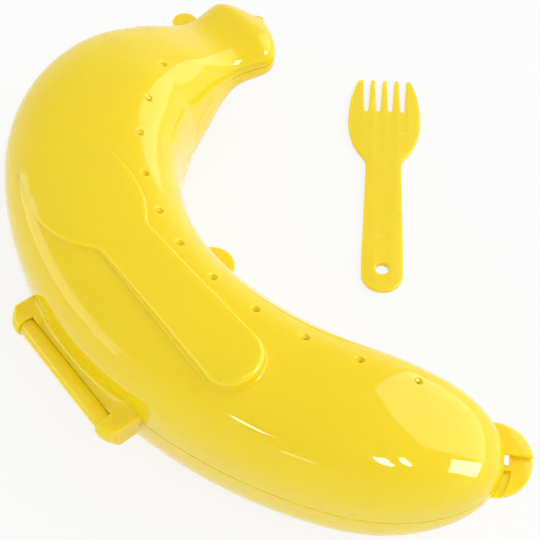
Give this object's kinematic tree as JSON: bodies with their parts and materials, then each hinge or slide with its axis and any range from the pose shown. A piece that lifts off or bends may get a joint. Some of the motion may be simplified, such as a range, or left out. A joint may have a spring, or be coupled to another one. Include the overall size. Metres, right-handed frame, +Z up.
{
  "type": "banana carrying case",
  "caption": "Curved hinged plastic case that holds one banana, with vent holes in the lid and a raised pad whose pocket stows a small flat fork.",
  "frame": {"origin": "on the table plane under the spine of the case beside the middle of the hinge, on the flat strip it rests on", "axes": "+X along the hinge towards the tail, +Y towards the hollow side of the bend, +Z up"},
  "size_m": [0.1985, 0.1728, 0.0536],
  "materials": {
    "case_plastic": "glossy moulded polypropylene",
    "fork_plastic": "satin moulded polypropylene"
  },
  "bodies": {
    "base": {"base": "case_plastic"},
    "lid": {"lid": "case_plastic"},
    "fork": {"fork": "fork_plastic"}
  },
  "joints": [
    {"name": "lid_hinge", "type": "hinge", "parent": "base", "child": "lid", "pos_m": [0, -0.0279, 0.0268], "axis": [1, 0, 0], "range_deg": [0, 180]},
    {"name": "fork_lift", "type": "slide", "parent": "base", "child": "fork", "axis": [0, 0, 1], "range_m": [0, 0.12]}
  ]
}
